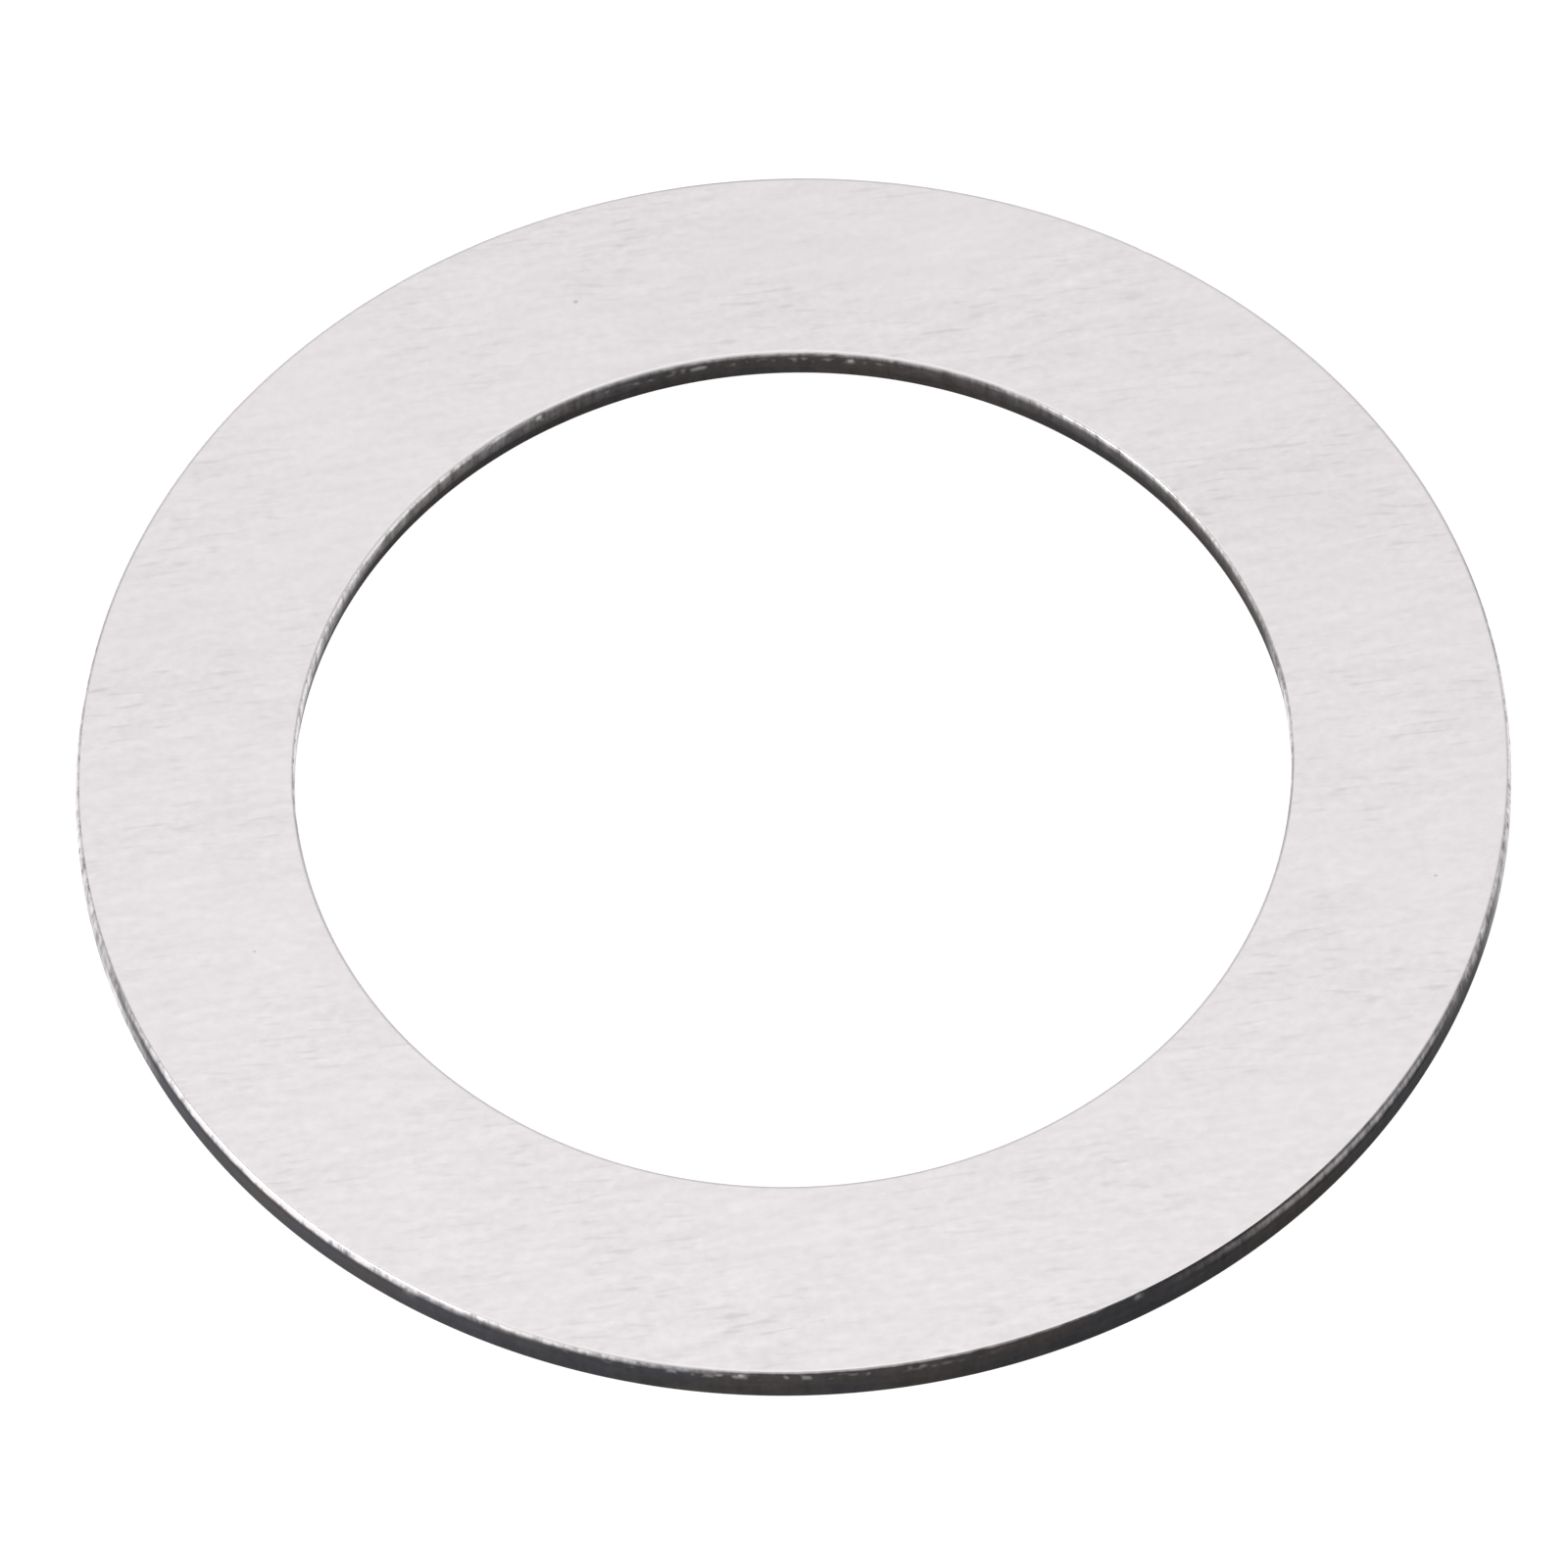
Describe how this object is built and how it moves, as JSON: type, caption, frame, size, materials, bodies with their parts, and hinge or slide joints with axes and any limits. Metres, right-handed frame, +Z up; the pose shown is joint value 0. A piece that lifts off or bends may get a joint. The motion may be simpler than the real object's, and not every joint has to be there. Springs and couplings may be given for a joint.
{
  "type": "flat washer",
  "caption": "Plain flat ring washer of ground steel with a round bore and dark stamped edges, used as a spacer or thrust face.",
  "frame": {"origin": "centre of the bore in the plane of the lower face, which the washer lies on", "axes": "+Z up the bore's axis, from the lower face to the upper one; X and Y lie in the face, and the ring is round, so they carry no meaning beyond the grinding direction, which runs near +X"},
  "size_m": [0.036, 0.036, 0.001],
  "materials": {
    "ground_steel": "faces ground in one direction; stamped edges left dark from hardening"
  },
  "bodies": {
    "root": {"washer": "ground_steel"}
  },
  "joints": []
}
